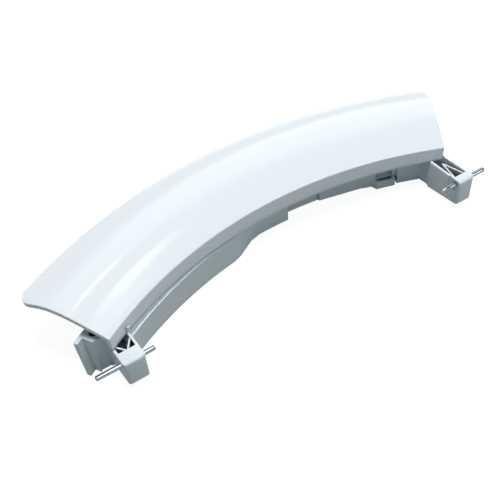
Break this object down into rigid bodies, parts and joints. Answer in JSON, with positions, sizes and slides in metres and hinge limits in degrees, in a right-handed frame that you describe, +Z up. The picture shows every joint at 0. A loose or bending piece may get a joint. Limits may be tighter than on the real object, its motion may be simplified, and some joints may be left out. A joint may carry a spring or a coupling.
{
  "type": "washing machine door handle",
  "caption": "Arched two-shell door handle for a washing machine, with two short arms that swing on loose steel pins.",
  "frame": {"origin": "middle of the bounding box in plan, at the height of the carrier's underside", "axes": "+Z up, the way the glossy face looks; +X along the hinge line, from the left arm to the right one; +Y from the hinge line towards the crown of the arch"},
  "size_m": [0.2418, 0.0908, 0.0306],
  "materials": {
    "gloss_white": "smooth glossy white moulding, slightly cool",
    "matte_white": "plain matt white moulding",
    "pin_steel": "bright drawn steel with chamfered ends",
    "screw_zinc": "bright zinc plating"
  },
  "bodies": {
    "handle": {"front_cover": "gloss_white", "carrier": "matte_white", "cover_screw_1": "screw_zinc", "cover_screw_2": "screw_zinc", "cover_screw_3": "screw_zinc", "cover_screw_4": "screw_zinc"},
    "left_pin": {"left_hinge_pin": "pin_steel"},
    "right_pin": {"right_hinge_pin": "pin_steel"}
  },
  "joints": [
    {"name": "left_pin_turn", "type": "hinge", "parent": "handle", "child": "left_pin", "pos_m": [-0.09393, -0.04239, 0.015], "axis": [1, 0, 0], "continuous": true},
    {"name": "right_pin_turn", "type": "hinge", "parent": "handle", "child": "right_pin", "pos_m": [0.09707, -0.04239, 0.015], "axis": [1, 0, 0], "continuous": true}
  ]
}
